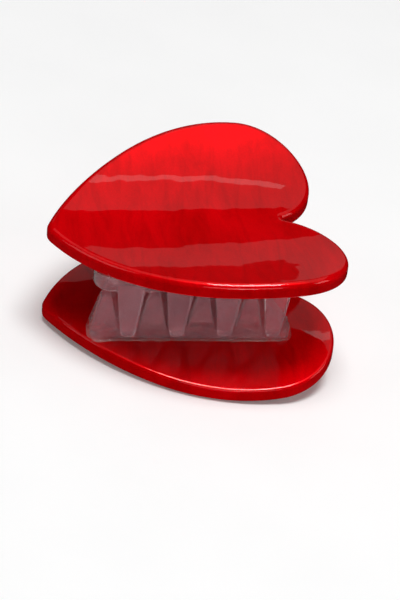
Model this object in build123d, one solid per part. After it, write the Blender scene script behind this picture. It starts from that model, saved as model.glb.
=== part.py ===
from build123d import *
from math import acos, cos, degrees, radians, sin
import os

os.makedirs("parts", exist_ok=True)

# Hair claw clip: two saddle-curved hearts, each with a clear comb bonded inside,
# hinged on a steel pin and held closed by a torsion spring.
# Millimetres. Model frame: X along the row of teeth, -Y the toothed side, Z up,
# with the plane Z = 0 halfway between the hearts.

# Heart plates
PLATE_THICKNESS = 4.5
OUTER_HEIGHT = 14.3          # mid-plane to the outer face at the middle of the heart
TIP_TO_MIDDLE = 42.0         # the middle of the heart, measured from its tip
UPPER_TURN = 7.2             # degrees between the heart's axis and the row of teeth
LOWER_TURN = 4.5
LOWER_ROLL = 1.9             # the lower heart's toothed side sits closer in
TIP_RADIUS = 4.6
TIP_SWEEP = 26.0
SIDE_RADIUS = 68.0
SIDE_SWEEP = 33.0
SHOULDER_RADIUS = 55.5
SHOULDER_SWEEP = 37.0
LOBE_RADIUS = 19.5
NOTCH_ROUND = 0.8
OUTER_ROUND = 1.6
INNER_ROUND = 1.0

# Saddle shape: how the plate rises away from its middle
FLARE = 0.0101               # curvature across the heart, 1/mm
HANDLE_FLARE = 3.6e-5        # extra rise of the handle lobe, 1/mm^2
LEAN = -0.0155
CURL = -2.7e-5               # lobes curl in and the tip turns out, 1/mm^2
BOND = 0.25                  # adhesive between plate and comb
BOND_LIP = 0.8               # adhesive squeezed out around the comb

# Combs
PITCH = 13.2
TOOTH_WIDTH = 7.3
LOWER_FRONT = -19.7
LOWER_FACE = 7.4             # mid-plane to the comb's inner face
LOWER_TOOTH = 11.0
LOWER_TIP_WIDTH = 2.6
LOWER_SHIFT = -6.2
UPPER_FRONT = -22.8
UPPER_FACE = 7.1
UPPER_TOOTH = 15.2
UPPER_TIP_WIDTH = 3.8
TOOTH_DEPTH = 2.8
COMB_LEFT = -29.7
COMB_RIGHT = 25.2
COMB_BACK = 15.0
STRIP_DEPTH = 5.7
COMB_CORNER = 1.5
LOWER_TIP_CORNER = 2.5       # corner of the comb nearest the heart's tip
UPPER_TIP_CORNER = 5.0

# Hinge
HINGE_Y = 7.5
HINGE_X = (COMB_LEFT + COMB_RIGHT) / 2
PIN_RADIUS = 1.0
PIN_RUNNING = 0.05
KNUCKLE_RADIUS = 3.4
KNUCKLE_FOOT = 10.0
KNUCKLE_WIDTH = 4.0
KNUCKLE_GAP = 0.3
SPRING_SPACE = 6.6           # half the space between the inner knuckles
WIRE_RADIUS = 0.45
COIL_RADIUS = 2.2
COIL_PITCH = 1.1
COIL_TURNS = 7
LEG_SLOPE = 30.0

# Resting position on its lower heart
REST_ABOUT_ROW = 3.8
REST_ALONG_ROW = -4.6


def rise(du, v):
    """Height of the plate's outer face above the mid-plane."""
    return OUTER_HEIGHT + LEAN * v + FLARE * v**2 / 2 + HANDLE_FLARE * v**3 + CURL * du**3


def heart_face(depth):
    """The plate's outer face, moved inward along its normal by depth."""
    rows = []
    for du in range(-52, 45, 8):
        row = []
        for v in range(-48, 49, 8):
            slope_u = 3 * CURL * du**2
            slope_v = LEAN + FLARE * v + 3 * HANDLE_FLARE * v**2
            steep = (1 + slope_u**2 + slope_v**2) ** 0.5
            shift = Vector(slope_u, slope_v, -1) * (depth / steep)
            row.append(Vector(du, v, rise(du, v)) + shift)
        rows.append(row)
    return Face.make_surface_from_array_of_points(rows, tol=0.005)


def heart_outline():
    """Flat heart, tip toward -X, built from arcs that run smoothly into each other."""
    edges = []
    x, y, heading = -TIP_TO_MIDDLE, 0.0, 90.0
    sweeps = [(TIP_RADIUS, TIP_SWEEP), (SIDE_RADIUS, SIDE_SWEEP), (SHOULDER_RADIUS, SHOULDER_SWEEP)]
    for radius, sweep in sweeps:
        arc, x, y, heading = right_turn(x, y, heading, radius, sweep)
        edges.append(arc)
    centre_y = y - LOBE_RADIUS * cos(radians(heading))
    to_axis = heading + degrees(acos(-centre_y / LOBE_RADIUS))
    arc, x, y, heading = right_turn(x, y, heading, LOBE_RADIUS, to_axis)
    edges.append(arc)
    far = Curve() + edges
    near = mirror(far, about=Plane.XZ)
    face = make_face(far + near)
    notch = face.vertices().sort_by_distance((x, 0, 0))[0]
    return fillet(notch, NOTCH_ROUND)


def right_turn(x, y, heading, radius, sweep):
    """An arc that turns right by sweep degrees; returns it with the new position."""
    cx = x + radius * sin(radians(heading))
    cy = y - radius * cos(radians(heading))
    points = []
    for angle in (heading, heading - sweep / 2, heading - sweep):
        points.append((cx - radius * sin(radians(angle)), cy + radius * cos(radians(angle))))
    return ThreePointArc(*points), points[2][0], points[2][1], heading - sweep


def below(depth):
    """Everything under the plate's outer face moved inward by depth."""
    return extrude(heart_face(depth), amount=60, dir=(0, 0, -1))


def heart_plate():
    """Upper heart: one plate between two curved faces, rounded all round."""
    block = extrude(heart_outline(), amount=50)
    plate = block & below(0)
    plate = plate - below(PLATE_THICKNESS)
    outer = [e for e in plate.edges() if gap_to_face(e) < 0.3]
    plate = fillet(outer, OUTER_ROUND)
    inner = [e for e in plate.edges() if abs(gap_to_face(e) - PLATE_THICKNESS) < 0.3]
    inner = [e for e in inner if e.length > 0.2]
    return fillet(inner, INNER_ROUND)


def gap_to_face(edge):
    """Depth of an edge under the plate's outer face."""
    p = edge @ 0.5
    slope_u = 3 * CURL * p.X**2
    slope_v = LEAN + FLARE * p.Y + 3 * HANDLE_FLARE * p.Y**2
    return (rise(p.X, p.Y) - p.Z) / (1 + slope_u**2 + slope_v**2) ** 0.5


def comb_outline(front, tip_corner, lip):
    """Base of a comb: full width at the strip of teeth, narrower at the hinge."""
    bend = front + STRIP_DEPTH
    narrow = (COMB_BACK - bend) * 0.36
    corners = [
        (COMB_LEFT - lip, front - lip),
        (COMB_RIGHT + lip, front - lip),
        (COMB_RIGHT + lip, bend),
        (COMB_RIGHT - narrow + lip, COMB_BACK + lip),
        (COMB_LEFT + narrow - lip, COMB_BACK + lip),
        (COMB_LEFT - lip, bend),
    ]
    face = make_face(Polyline(*corners, close=True))
    others = face.vertices().sort_by_distance((*corners[0], 0))[1:]
    face = fillet(others, COMB_CORNER + lip)
    nearest_tip = face.vertices().sort_by_distance((*corners[0], 0))[0]
    return fillet(nearest_tip, tip_corner + lip)


def tooth(centre, front, face, length, tip_width):
    """Flat tapering tooth with a rounded tip, pointing down from a comb's inner face."""
    root = face + 1.5
    corners = [
        (centre - TOOTH_WIDTH / 2, root),
        (centre + TOOTH_WIDTH / 2, root),
        (centre + TOOTH_WIDTH / 2, face),
        (centre + tip_width / 2, face - length),
        (centre - tip_width / 2, face - length),
        (centre - TOOTH_WIDTH / 2, face),
    ]
    profile = make_face(Plane.XZ * Polyline(*corners, close=True))
    tips = profile.vertices().sort_by(Axis.Z)[:2]
    profile = fillet(tips, tip_width * 0.36)
    blade = Pos(0, front, 0) * extrude(profile, amount=TOOTH_DEPTH, dir=(0, 1, 0))
    rims = [e for e in blade.edges() if (e @ 0.5).Z < face - 0.01]
    rims = [e for e in rims if abs(e.bounding_box().size.Y) < 0.01]
    return fillet(rims, 0.4)


def knuckle(start, face, bore):
    """Lug that carries the hinge pin, from a comb's inner face down to the pin."""
    ring = Pos(HINGE_Y, 0) * Circle(KNUCKLE_RADIUS)
    foot = Pos(HINGE_Y, face + 0.5) * Rectangle(KNUCKLE_FOOT, 1.0)
    side = make_hull(ring.edges() + foot.edges()) - Pos(HINGE_Y, 0) * Circle(bore)
    return Pos(HINGE_X + start, 0, 0) * extrude(Plane.YZ * side, amount=KNUCKLE_WIDTH)


def comb(front, tip_corner, face, length, tip_width, shift, first_knuckle, bore, seat):
    """Clear moulding as it sits in the upper half: base, four teeth and two knuckles."""
    base = extrude(Pos(0, 0, face) * comb_outline(front, tip_corner, 0), amount=12)
    base = fillet(base.edges().group_by(Axis.Z)[0], 0.6)
    base = base & seat * below(PLATE_THICKNESS + BOND)
    shape = base
    for place in range(4):
        centre = shift + (place - 1.5) * PITCH
        shape += tooth(centre, front, face, length, tip_width)
    for start in (first_knuckle, -first_knuckle - KNUCKLE_WIDTH):
        shape += knuckle(start, face, bore)
    return shape


def bond(front, tip_corner, seat):
    """Adhesive film between a heart and its comb, kept inside the heart's edge."""
    block = extrude(comb_outline(front, tip_corner, BOND_LIP), amount=30)
    block = block & seat * extrude(offset(heart_outline(), -INNER_ROUND), amount=30)
    film = block & seat * below(PLATE_THICKNESS)
    return film - seat * below(PLATE_THICKNESS + BOND)


def hinge_pin():
    reach = SPRING_SPACE + 2 * KNUCKLE_WIDTH + KNUCKLE_GAP
    pin = Plane.YZ.offset(HINGE_X - reach) * Pos(HINGE_Y, 0) * Circle(PIN_RADIUS)
    return chamfer(extrude(pin, amount=2 * reach).edges(), 0.15)


def torsion_spring():
    """Coil around the pin with one leg under each comb on the handle side."""
    first = 90 + LEG_SLOPE
    turns = COIL_TURNS + (270 - LEG_SLOPE - first) / 360
    height = turns * COIL_PITCH
    helix = Rot(0, 0, first) * Helix(COIL_PITCH, height, COIL_RADIUS)
    ends = [(helix @ 0, (helix % 0) * -1, UPPER_FACE), (helix @ 1, helix % 1, LOWER_FACE)]
    spring = sweep(wire_end(helix @ 0, helix % 0), path=helix, is_frenet=True)
    for start, along, face in ends:
        run = (face - WIRE_RADIUS - 0.15 - abs(start.Y)) / abs(along.Y)
        spring += extrude(wire_end(start, along), amount=run)
    place = Plane((HINGE_X - height / 2, HINGE_Y, 0), x_dir=(0, 1, 0), z_dir=(1, 0, 0))
    return place * spring


def wire_end(point, along):
    return Plane(point, z_dir=along) * Circle(WIRE_RADIUS)


def turned_over(shape):
    return mirror(shape, about=Plane.XY)


upper_seat = Rot(0, 0, UPPER_TURN)
lower_seat = Rot(0, 0, LOWER_TURN) * Rot(LOWER_ROLL, 0, 0)
outer_knuckle = SPRING_SPACE + KNUCKLE_WIDTH + KNUCKLE_GAP
heart = heart_plate()
upper_comb = comb(
    front=UPPER_FRONT,
    tip_corner=UPPER_TIP_CORNER,
    face=UPPER_FACE,
    length=UPPER_TOOTH,
    tip_width=UPPER_TIP_WIDTH,
    shift=0.0,
    first_knuckle=SPRING_SPACE,
    bore=PIN_RADIUS + PIN_RUNNING,
    seat=upper_seat,
)
lower_comb = comb(
    front=LOWER_FRONT,
    tip_corner=LOWER_TIP_CORNER,
    face=LOWER_FACE,
    length=LOWER_TOOTH,
    tip_width=LOWER_TIP_WIDTH,
    shift=LOWER_SHIFT,
    first_knuckle=outer_knuckle,
    bore=PIN_RADIUS,
    seat=lower_seat,
)
pieces = {
    "upper_heart": upper_seat * heart,
    "upper_bond": bond(UPPER_FRONT, UPPER_TIP_CORNER, upper_seat),
    "upper_comb": upper_comb,
    "lower_heart": turned_over(lower_seat * heart),
    "lower_bond": turned_over(bond(LOWER_FRONT, LOWER_TIP_CORNER, lower_seat)),
    "lower_comb": turned_over(lower_comb),
    "hinge_pin": hinge_pin(),
    "torsion_spring": torsion_spring(),
}

tilt = Rot(0, REST_ALONG_ROW, 0) * Rot(REST_ABOUT_ROW, 0, 0)
box = Compound(children=[tilt * piece for piece in pieces.values()]).bounding_box()
settle = Pos(-box.center().X, -box.center().Y, -box.min.Z)
for name, piece in pieces.items():
    export_step(settle * tilt * piece, f"parts/{name}.step")
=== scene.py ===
from math import cos, pi, radians, sin

import bmesh
import bpy
from mathutils import Euler, Matrix, Vector, noise
from mathutils.bvhtree import BVHTree


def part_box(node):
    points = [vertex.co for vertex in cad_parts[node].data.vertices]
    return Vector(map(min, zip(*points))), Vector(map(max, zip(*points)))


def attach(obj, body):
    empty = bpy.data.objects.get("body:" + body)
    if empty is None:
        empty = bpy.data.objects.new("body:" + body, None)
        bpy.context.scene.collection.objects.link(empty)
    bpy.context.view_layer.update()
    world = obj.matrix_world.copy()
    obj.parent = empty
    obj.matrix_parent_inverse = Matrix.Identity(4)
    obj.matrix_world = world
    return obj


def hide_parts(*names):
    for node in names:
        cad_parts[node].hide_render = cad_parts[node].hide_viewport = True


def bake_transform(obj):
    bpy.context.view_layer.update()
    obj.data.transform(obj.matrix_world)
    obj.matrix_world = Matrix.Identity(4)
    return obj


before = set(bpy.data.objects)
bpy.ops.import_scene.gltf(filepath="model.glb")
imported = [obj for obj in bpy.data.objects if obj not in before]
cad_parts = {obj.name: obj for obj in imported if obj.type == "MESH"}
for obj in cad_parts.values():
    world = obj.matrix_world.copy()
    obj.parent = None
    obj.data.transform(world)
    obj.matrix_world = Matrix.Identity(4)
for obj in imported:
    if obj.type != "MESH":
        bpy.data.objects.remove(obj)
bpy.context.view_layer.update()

MM = 0.001

# Camera, aimed at a point in front of the hinge pin's middle
CAMERA_AZIMUTH = 12.2
CAMERA_ELEVATION = 31.3
CAMERA_ROLL = 10.8
CAMERA_DISTANCE = 535 * MM
CAMERA_LENS = 115.5
CAMERA_SHIFT = (0.0096, -0.0608)
AIM_OFFSET = Vector((2.3, -7.5, -0.3)) * MM

# Adhesive squeezed out along the front of each comb
BEAD_RADIUS = 0.42 * MM
BEAD_WOBBLE = 0.45 * MM
BEAD_RINGS = 180
BEAD_SIDES = 10
BEAD_INSET = 1.2 * MM        # from the film's ends
BEAD_BACK = 0.5 * MM         # from the film's front edge
DROP_HEIGHT = 12 * MM        # where the lines that find the heart's surface start

COMB_EDGE_ROUND = 0.45 * MM
FLOOR_REACH = 3.0
FLAG_SIDES = 48


def new_material(name):
    material = bpy.data.materials.new(name)
    material.use_nodes = True
    tree = material.node_tree
    return material, tree, tree.nodes["Principled BSDF"]


def object_coords(tree, scale):
    """Object coordinates in metres, stretched by scale, ready for a noise texture."""
    coords = tree.nodes.new("ShaderNodeTexCoord")
    mapping = tree.nodes.new("ShaderNodeMapping")
    mapping.inputs["Scale"].default_value = scale
    tree.links.new(coords.outputs["Object"], mapping.inputs["Vector"])
    return mapping.outputs["Vector"]


def noise_texture(tree, scale, detail=3.0, roughness=0.5, distortion=0.0):
    texture = tree.nodes.new("ShaderNodeTexNoise")
    texture.inputs["Scale"].default_value = 1.0
    texture.inputs["Detail"].default_value = detail
    texture.inputs["Roughness"].default_value = roughness
    texture.inputs["Distortion"].default_value = distortion
    tree.links.new(object_coords(tree, scale), texture.inputs["Vector"])
    return texture.outputs["Fac"]


def ramp(tree, factor, stops):
    """Two colours at their places along the factor, blended between."""
    node = tree.nodes.new("ShaderNodeValToRGB")
    elements = node.color_ramp.elements
    for element, (position, colour) in zip(elements, stops):
        element.position = position
        element.color = (*colour, 1.0)
    tree.links.new(factor, node.inputs["Fac"])
    return node.outputs["Color"]


def mix(tree, mode, amount, first, second):
    node = tree.nodes.new("ShaderNodeMix")
    node.data_type = "RGBA"
    node.blend_type = mode
    node.inputs["Factor"].default_value = amount
    tree.links.new(first, node.inputs[6])
    tree.links.new(second, node.inputs[7])
    return node.outputs[2]


def bump(tree, height, distance, strength=1.0):
    node = tree.nodes.new("ShaderNodeBump")
    node.inputs["Distance"].default_value = distance
    node.inputs["Strength"].default_value = strength
    tree.links.new(height, node.inputs["Height"])
    return node.outputs["Normal"]


def spread(tree, factor, low, high):
    node = tree.nodes.new("ShaderNodeMapRange")
    node.inputs["To Min"].default_value = low
    node.inputs["To Max"].default_value = high
    tree.links.new(factor, node.inputs["Value"])
    return node.outputs["Result"]


def red_acetate():
    """Polished red sheet with swirled pearl pigment under a clear gloss."""
    material, tree, shader = new_material("red_acetate")
    clouds = noise_texture(tree, (55, 22, 40), 5, 0.6, 0.6)
    streaks = noise_texture(tree, (260, 48, 160), 4, 0.6, 1.2)
    grain = noise_texture(tree, (2600, 1500, 2600), 2, 0.7)
    base = ramp(tree, clouds, [(0.3, (0.70, 0.0, 0.0015)), (0.7, (1.0, 0.0, 0.004))])
    veins = ramp(tree, streaks, [(0.25, (0.7, 0.5, 0.5)), (0.55, (1.0, 1.0, 1.0))])
    pearl = ramp(tree, grain, [(0.35, (0.86, 0.8, 0.8)), (0.7, (1.0, 1.0, 1.0))])
    colour = mix(tree, "MULTIPLY", 0.6, base, veins)
    colour = mix(tree, "MULTIPLY", 0.6, colour, pearl)
    tree.links.new(colour, shader.inputs["Base Color"])
    tree.links.new(spread(tree, streaks, 0.3, 0.5), shader.inputs["Roughness"])
    shader.inputs["Metallic"].default_value = 0.4
    shader.inputs["Specular IOR Level"].default_value = 0.0
    shader.inputs["Coat Weight"].default_value = 1.0
    shader.inputs["Coat Roughness"].default_value = 0.025
    shader.inputs["Coat IOR"].default_value = 1.48
    polish = noise_texture(tree, (90, 60, 90), 2, 0.5)
    tree.links.new(bump(tree, polish, 0.12 * MM), shader.inputs["Coat Normal"])
    tree.links.new(bump(tree, grain, 0.02 * MM, 0.6), shader.inputs["Normal"])
    return material


def clear_plastic(name, tint, solid, rough_low, rough_high, ripple):
    """Clear plastic that takes on its tint where seen face on, with a painted highlight: its colour
    turns near white at its edges.

    solid is how much of a face-on surface hides what is behind it.
    """
    material, tree, shader = new_material(name)
    flow = noise_texture(tree, (240, 240, 110), 3, 0.55, 0.8)
    haze = noise_texture(tree, (500, 500, 500), 3, 0.6)
    weight = tree.nodes.new("ShaderNodeLayerWeight")
    weight.inputs["Blend"].default_value = 0.45
    # painted highlight: the base colour runs from the tint face on to near white where the surface turns
    # away from the view
    edges = ramp(tree, weight.outputs["Facing"], [(0.25, tint), (0.75, (1.0, 0.97, 0.95))])
    ripples = ramp(tree, flow, [(0.35, (0.8, 0.74, 0.76)), (0.6, (1.0, 1.0, 1.0))])
    tree.links.new(mix(tree, "MULTIPLY", 0.8, edges, ripples), shader.inputs["Base Color"])
    cover = ramp(tree, weight.outputs["Facing"], [(0.2, (solid, solid, solid)), (0.8, (0.9, 0.9, 0.9))])
    tree.links.new(cover, shader.inputs["Alpha"])
    tree.links.new(spread(tree, haze, rough_low, rough_high), shader.inputs["Roughness"])
    shader.inputs["Transmission Weight"].default_value = 0.66
    shader.inputs["IOR"].default_value = 1.35
    shader.inputs["Coat Weight"].default_value = 1.0
    shader.inputs["Coat Roughness"].default_value = 0.03
    tree.links.new(bump(tree, flow, ripple), shader.inputs["Normal"])
    return material


def steel(name, colour, stretch):
    """Drawn wire with fine marks along its length and darker patches."""
    material, tree, shader = new_material(name)
    marks = noise_texture(tree, stretch, 4, 0.7)
    patches = noise_texture(tree, (300, 300, 300), 3, 0.6)
    dark = tuple(c * 0.6 for c in colour)
    tone = ramp(tree, patches, [(0.3, dark), (0.6, colour)])
    tree.links.new(tone, shader.inputs["Base Color"])
    tree.links.new(spread(tree, marks, 0.16, 0.4), shader.inputs["Roughness"])
    shader.inputs["Metallic"].default_value = 1.0
    tree.links.new(bump(tree, marks, 0.02 * MM), shader.inputs["Normal"])
    return material


def dress(node, material, edge_round=0.0):
    """Give a CAD part its material, and soften its edges where a radius is given."""
    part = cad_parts[node]
    part.data.materials.clear()
    part.data.materials.append(material)
    if edge_round:
        soften = part.modifiers.new("edges", "BEVEL")
        soften.width = edge_round
        soften.segments = 3
        soften.limit_method = "ANGLE"
        soften.angle_limit = radians(40)
        soften.harden_normals = True


def surface_of(node):
    """The node's mesh as something a line can be dropped on to."""
    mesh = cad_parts[node].data
    points = [v.co.copy() for v in mesh.vertices]
    faces = [tuple(p.vertices) for p in mesh.polygons]
    return BVHTree.FromPolygons(points, faces)


def bead_line(bond, heart, drop):
    """Points where the adhesive's front edge lies on the heart, from end to end.

    drop is -1 for the heart below the film and 1 for the heart above it.
    """
    low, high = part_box(bond)
    surface = surface_of(heart)
    start = (low.z + high.z) / 2 - drop * DROP_HEIGHT
    run = high.x - low.x - 2 * BEAD_INSET
    points = []
    for ring in range(BEAD_RINGS + 1):
        x = low.x + BEAD_INSET + run * ring / BEAD_RINGS
        wander = noise.noise(Vector((x * 190, drop * 3.0, 0.0)))
        wander += 0.5 * noise.noise(Vector((x * 620, drop * 5.0, 4.0)))
        y = low.y + BEAD_BACK + BEAD_WOBBLE * wander
        hit = surface.ray_cast(Vector((x, y, start)), Vector((0, 0, drop)))[0]
        if hit:
            points.append(hit)
    return points


def bead(name, points, body, material):
    """A thin irregular bead of cured adhesive along the points."""
    mesh = bpy.data.meshes.new(name)
    work = bmesh.new()
    rings = []
    for place, point in enumerate(points):
        swell = 1.0 + 0.55 * noise.noise(Vector((point.x * 430, 9.0, point.z * 50)))
        ends = min(place, len(points) - 1 - place) / 6
        radius = BEAD_RADIUS * swell * min(1.0, 0.25 + ends)
        ring = []
        for side in range(BEAD_SIDES):
            angle = 2 * pi * side / BEAD_SIDES
            offset = Vector((0, 1.5 * radius * cos(angle), radius * sin(angle)))
            ring.append(work.verts.new(point + offset))
        rings.append(ring)
    for first, second in zip(rings, rings[1:]):
        for side in range(BEAD_SIDES):
            after = (side + 1) % BEAD_SIDES
            work.faces.new((first[side], first[after], second[after], second[side]))
    work.faces.new(rings[0][::-1])
    work.faces.new(rings[-1])
    bmesh.ops.recalc_face_normals(work, faces=work.faces)
    for face in work.faces:
        face.smooth = True
    work.to_mesh(mesh)
    work.free()
    mesh.materials.append(material)
    piece = bpy.data.objects.new(name, mesh)
    bpy.context.scene.collection.objects.link(piece)
    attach(piece, body)


def spring(material):
    """The spring's wire: a copy of the CAD spring in its place, with its material, shown instead of the
    CAD node.
    """
    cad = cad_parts["torsion_spring"]
    wire = bpy.data.objects.new("spring_wire", cad.data.copy())
    wire.matrix_world = cad.matrix_world
    wire.data.materials.clear()
    wire.data.materials.append(material)
    bpy.context.scene.collection.objects.link(wire)
    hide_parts("torsion_spring")
    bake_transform(wire)


def floor():
    """Plain white table, large enough to fill the view."""
    mesh = bpy.data.meshes.new("floor")
    signs = [(-1, -1), (1, -1), (1, 1), (-1, 1)]
    corners = [(FLOOR_REACH * x, FLOOR_REACH * y, 0) for x, y in signs]
    mesh.from_pydata(corners, [], [(0, 1, 2, 3)])
    material, tree, shader = new_material("white_table")
    paper = noise_texture(tree, (30, 30, 30), 3, 0.5)
    tone = ramp(tree, paper, [(0.3, (0.90, 0.90, 0.90)), (0.7, (0.92, 0.92, 0.92))])
    tree.links.new(tone, shader.inputs["Base Color"])
    shader.inputs["Roughness"].default_value = 0.9
    shader.inputs["Specular IOR Level"].default_value = 0.1
    shader.inputs["Emission Color"].default_value = (1, 1, 1, 1)
    shader.inputs["Emission Strength"].default_value = 0.1
    mesh.materials.append(material)
    table = bpy.data.objects.new("floor", mesh)
    bpy.context.scene.collection.objects.link(table)
    table.visible_glossy = False


def facing(azimuth, elevation):
    """Turns local +Z toward azimuth and elevation: azimuth 0 is the toothed side, 90 the heart's tip."""
    return Euler((radians(90 - elevation), 0, -radians(azimuth)), "XYZ").to_matrix()


def softbox(name, azimuth, elevation, distance, size, radiance, aim, roll=0):
    """A rectangular studio light, placed by its direction from the clip."""
    light = bpy.data.lights.new(name, "AREA")
    light.shape = "RECTANGLE"
    light.size, light.size_y = size
    light.energy = radiance * pi * size[0] * size[1]
    lamp = bpy.data.objects.new(name, light)
    turn = facing(azimuth, elevation)
    lamp.location = aim + turn @ Vector((0, 0, distance))
    lamp.rotation_euler = (turn @ Matrix.Rotation(radians(roll), 3, "Z")).to_euler()
    bpy.context.scene.collection.objects.link(lamp)


def flag(name, azimuth, elevation, distance, size, aim):
    """A black oval card that only reflections see, in front of the back light."""
    turn = facing(azimuth, elevation)
    points = []
    for side in range(FLAG_SIDES):
        angle = 2 * pi * side / FLAG_SIDES
        offset = Vector((size[0] * cos(angle), size[1] * sin(angle), distance))
        points.append(aim + turn @ offset)
    mesh = bpy.data.meshes.new(name)
    mesh.from_pydata(points, [], [tuple(range(FLAG_SIDES))])
    material, tree, shader = new_material(name)
    cloth = noise_texture(tree, (60, 60, 60), 2, 0.5)
    tone = ramp(tree, cloth, [(0.3, (0.002, 0.002, 0.002)), (0.7, (0.004, 0.004, 0.004))])
    tree.links.new(tone, shader.inputs["Base Color"])
    mesh.materials.append(material)
    card = bpy.data.objects.new(name, mesh)
    bpy.context.scene.collection.objects.link(card)
    card.visible_camera = False
    card.visible_diffuse = False
    card.visible_shadow = False
    card.visible_transmission = False


def lights(aim):
    """Softboxes: the first five light the clip, the others are what its upper heart reflects."""
    softbox("key", 0, 82, 2.0, (1.0, 0.72), 14.5, aim)
    softbox("front", 0, 12, 0.8, (0.22, 0.05), 8.0, aim)
    softbox("fill", 0, 22, 1.2, (1.0, 0.35), 1.2, aim)
    softbox("left", -75, 30, 1.0, (0.4, 0.4), 1.6, aim)
    softbox("right", 80, 30, 1.0, (0.4, 0.4), 0.8, aim)
    softbox("overhead", 192, 77, 0.7, (1.1, 0.80), 0.28, aim, 34)
    softbox("stripe", 194, 58, 0.66, (0.23, 0.024), 0.9, aim, 54)
    softbox("back", 190, 19, 1.1, (0.9, 0.30), 0.18, aim, 6)
    flag("flag", 187.0, 18, 0.9, (0.08, 0.04), aim)
    world = bpy.data.worlds.new("studio")
    bpy.context.scene.world = world
    world.use_nodes = True
    background = world.node_tree.nodes["Background"]
    background.inputs["Color"].default_value = (0.95, 0.96, 1.0, 1.0)
    background.inputs["Strength"].default_value = 0.8
    world.cycles_visibility.glossy = False
    world.cycles_visibility.diffuse = False


def camera(aim):
    """The camera, above the clip's front and a little to the tip's side, rolled."""
    data = bpy.data.cameras.new("camera")
    data.sensor_width = 36
    data.lens = CAMERA_LENS
    data.shift_x, data.shift_y = CAMERA_SHIFT
    data.clip_start = 0.02
    view = bpy.data.objects.new("camera", data)
    turn = facing(CAMERA_AZIMUTH, CAMERA_ELEVATION)
    turn = turn @ Matrix.Rotation(radians(CAMERA_ROLL), 3, "Z")
    view.location = aim + turn @ Vector((0, 0, CAMERA_DISTANCE))
    view.rotation_euler = turn.to_euler()
    bpy.context.scene.collection.objects.link(view)
    bpy.context.scene.camera = view


low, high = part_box("hinge_pin")
centre = (low + high) / 2 + AIM_OFFSET

red = red_acetate()
clear = clear_plastic("clear_plastic", (1.0, 0.52, 0.58), 0.42, 0.01, 0.05, 0.25 * MM)
adhesive = clear_plastic("clear_adhesive", (0.98, 0.80, 0.78), 0.35, 0.08, 0.25, 0.35 * MM)
dress("upper_heart", red)
dress("lower_heart", red)
dress("upper_comb", clear, COMB_EDGE_ROUND)
dress("lower_comb", clear, COMB_EDGE_ROUND)
dress("upper_bond", adhesive)
dress("lower_bond", adhesive)
dress("hinge_pin", steel("pin_steel", (0.62, 0.62, 0.64), (300, 4000, 4000)))
spring(steel("spring_steel", (0.5, 0.5, 0.52), (2500, 2500, 2500)))

lower_line = bead_line("lower_bond", "lower_heart", -1)
bead("lower_bead", lower_line, "lower_half", adhesive)
upper_line = bead_line("upper_bond", "upper_heart", 1)
bead("upper_bead", upper_line, "upper_half", adhesive)

floor()
lights(centre)
camera(centre)
bpy.context.scene.view_settings.view_transform = "Standard"
